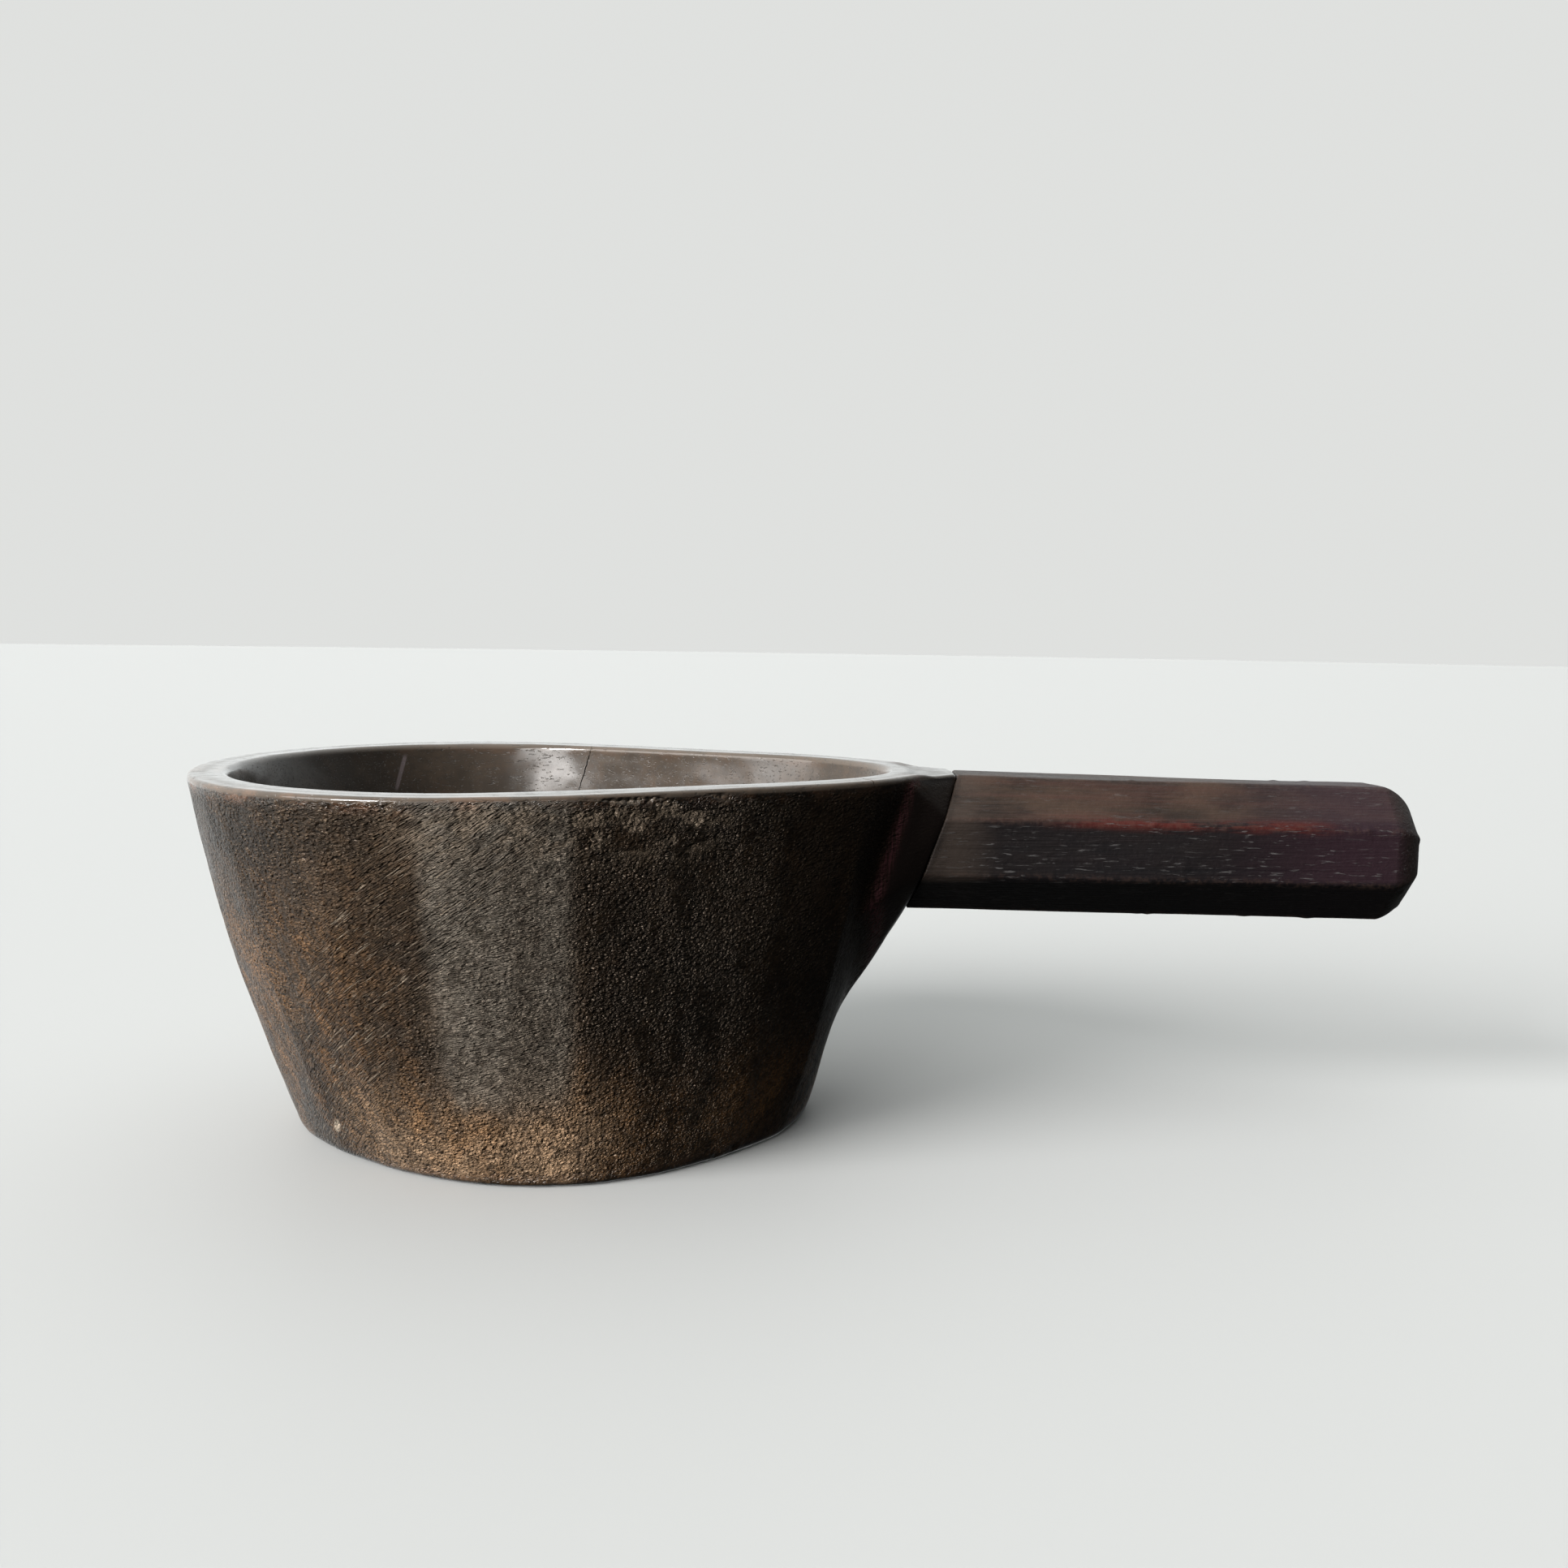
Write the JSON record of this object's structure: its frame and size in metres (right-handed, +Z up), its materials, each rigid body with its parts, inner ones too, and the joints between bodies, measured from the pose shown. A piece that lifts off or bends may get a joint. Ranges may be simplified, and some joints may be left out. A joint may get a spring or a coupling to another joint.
{
  "type": "feed scoop",
  "caption": "Hand-carved wooden feed scoop: a deep bowl with an egg-shaped mouth and a flat base, and an eight-sided side handle tenoned into a lug on its wall.",
  "frame": {"origin": "on the table, under the centre of the bowl's base", "axes": "+Z up, +X from the bowl towards the handle, +Y to the left of the handle seen from the bowl"},
  "size_m": [0.3759, 0.2004, 0.107],
  "materials": {
    "bowl_wood": "dark oiled hardwood, worn and handled, satin",
    "handle_wood": "dark reddish-brown hardwood, polished by hands, satin",
    "wedge_wood": "darkened hardwood, end grain",
    "peg_wood": "darkened hardwood, end grain"
  },
  "bodies": {
    "root": {"bowl": "bowl_wood", "handle": "handle_wood", "tenon_wedge": "wedge_wood", "tenon_peg": "peg_wood"}
  },
  "joints": []
}
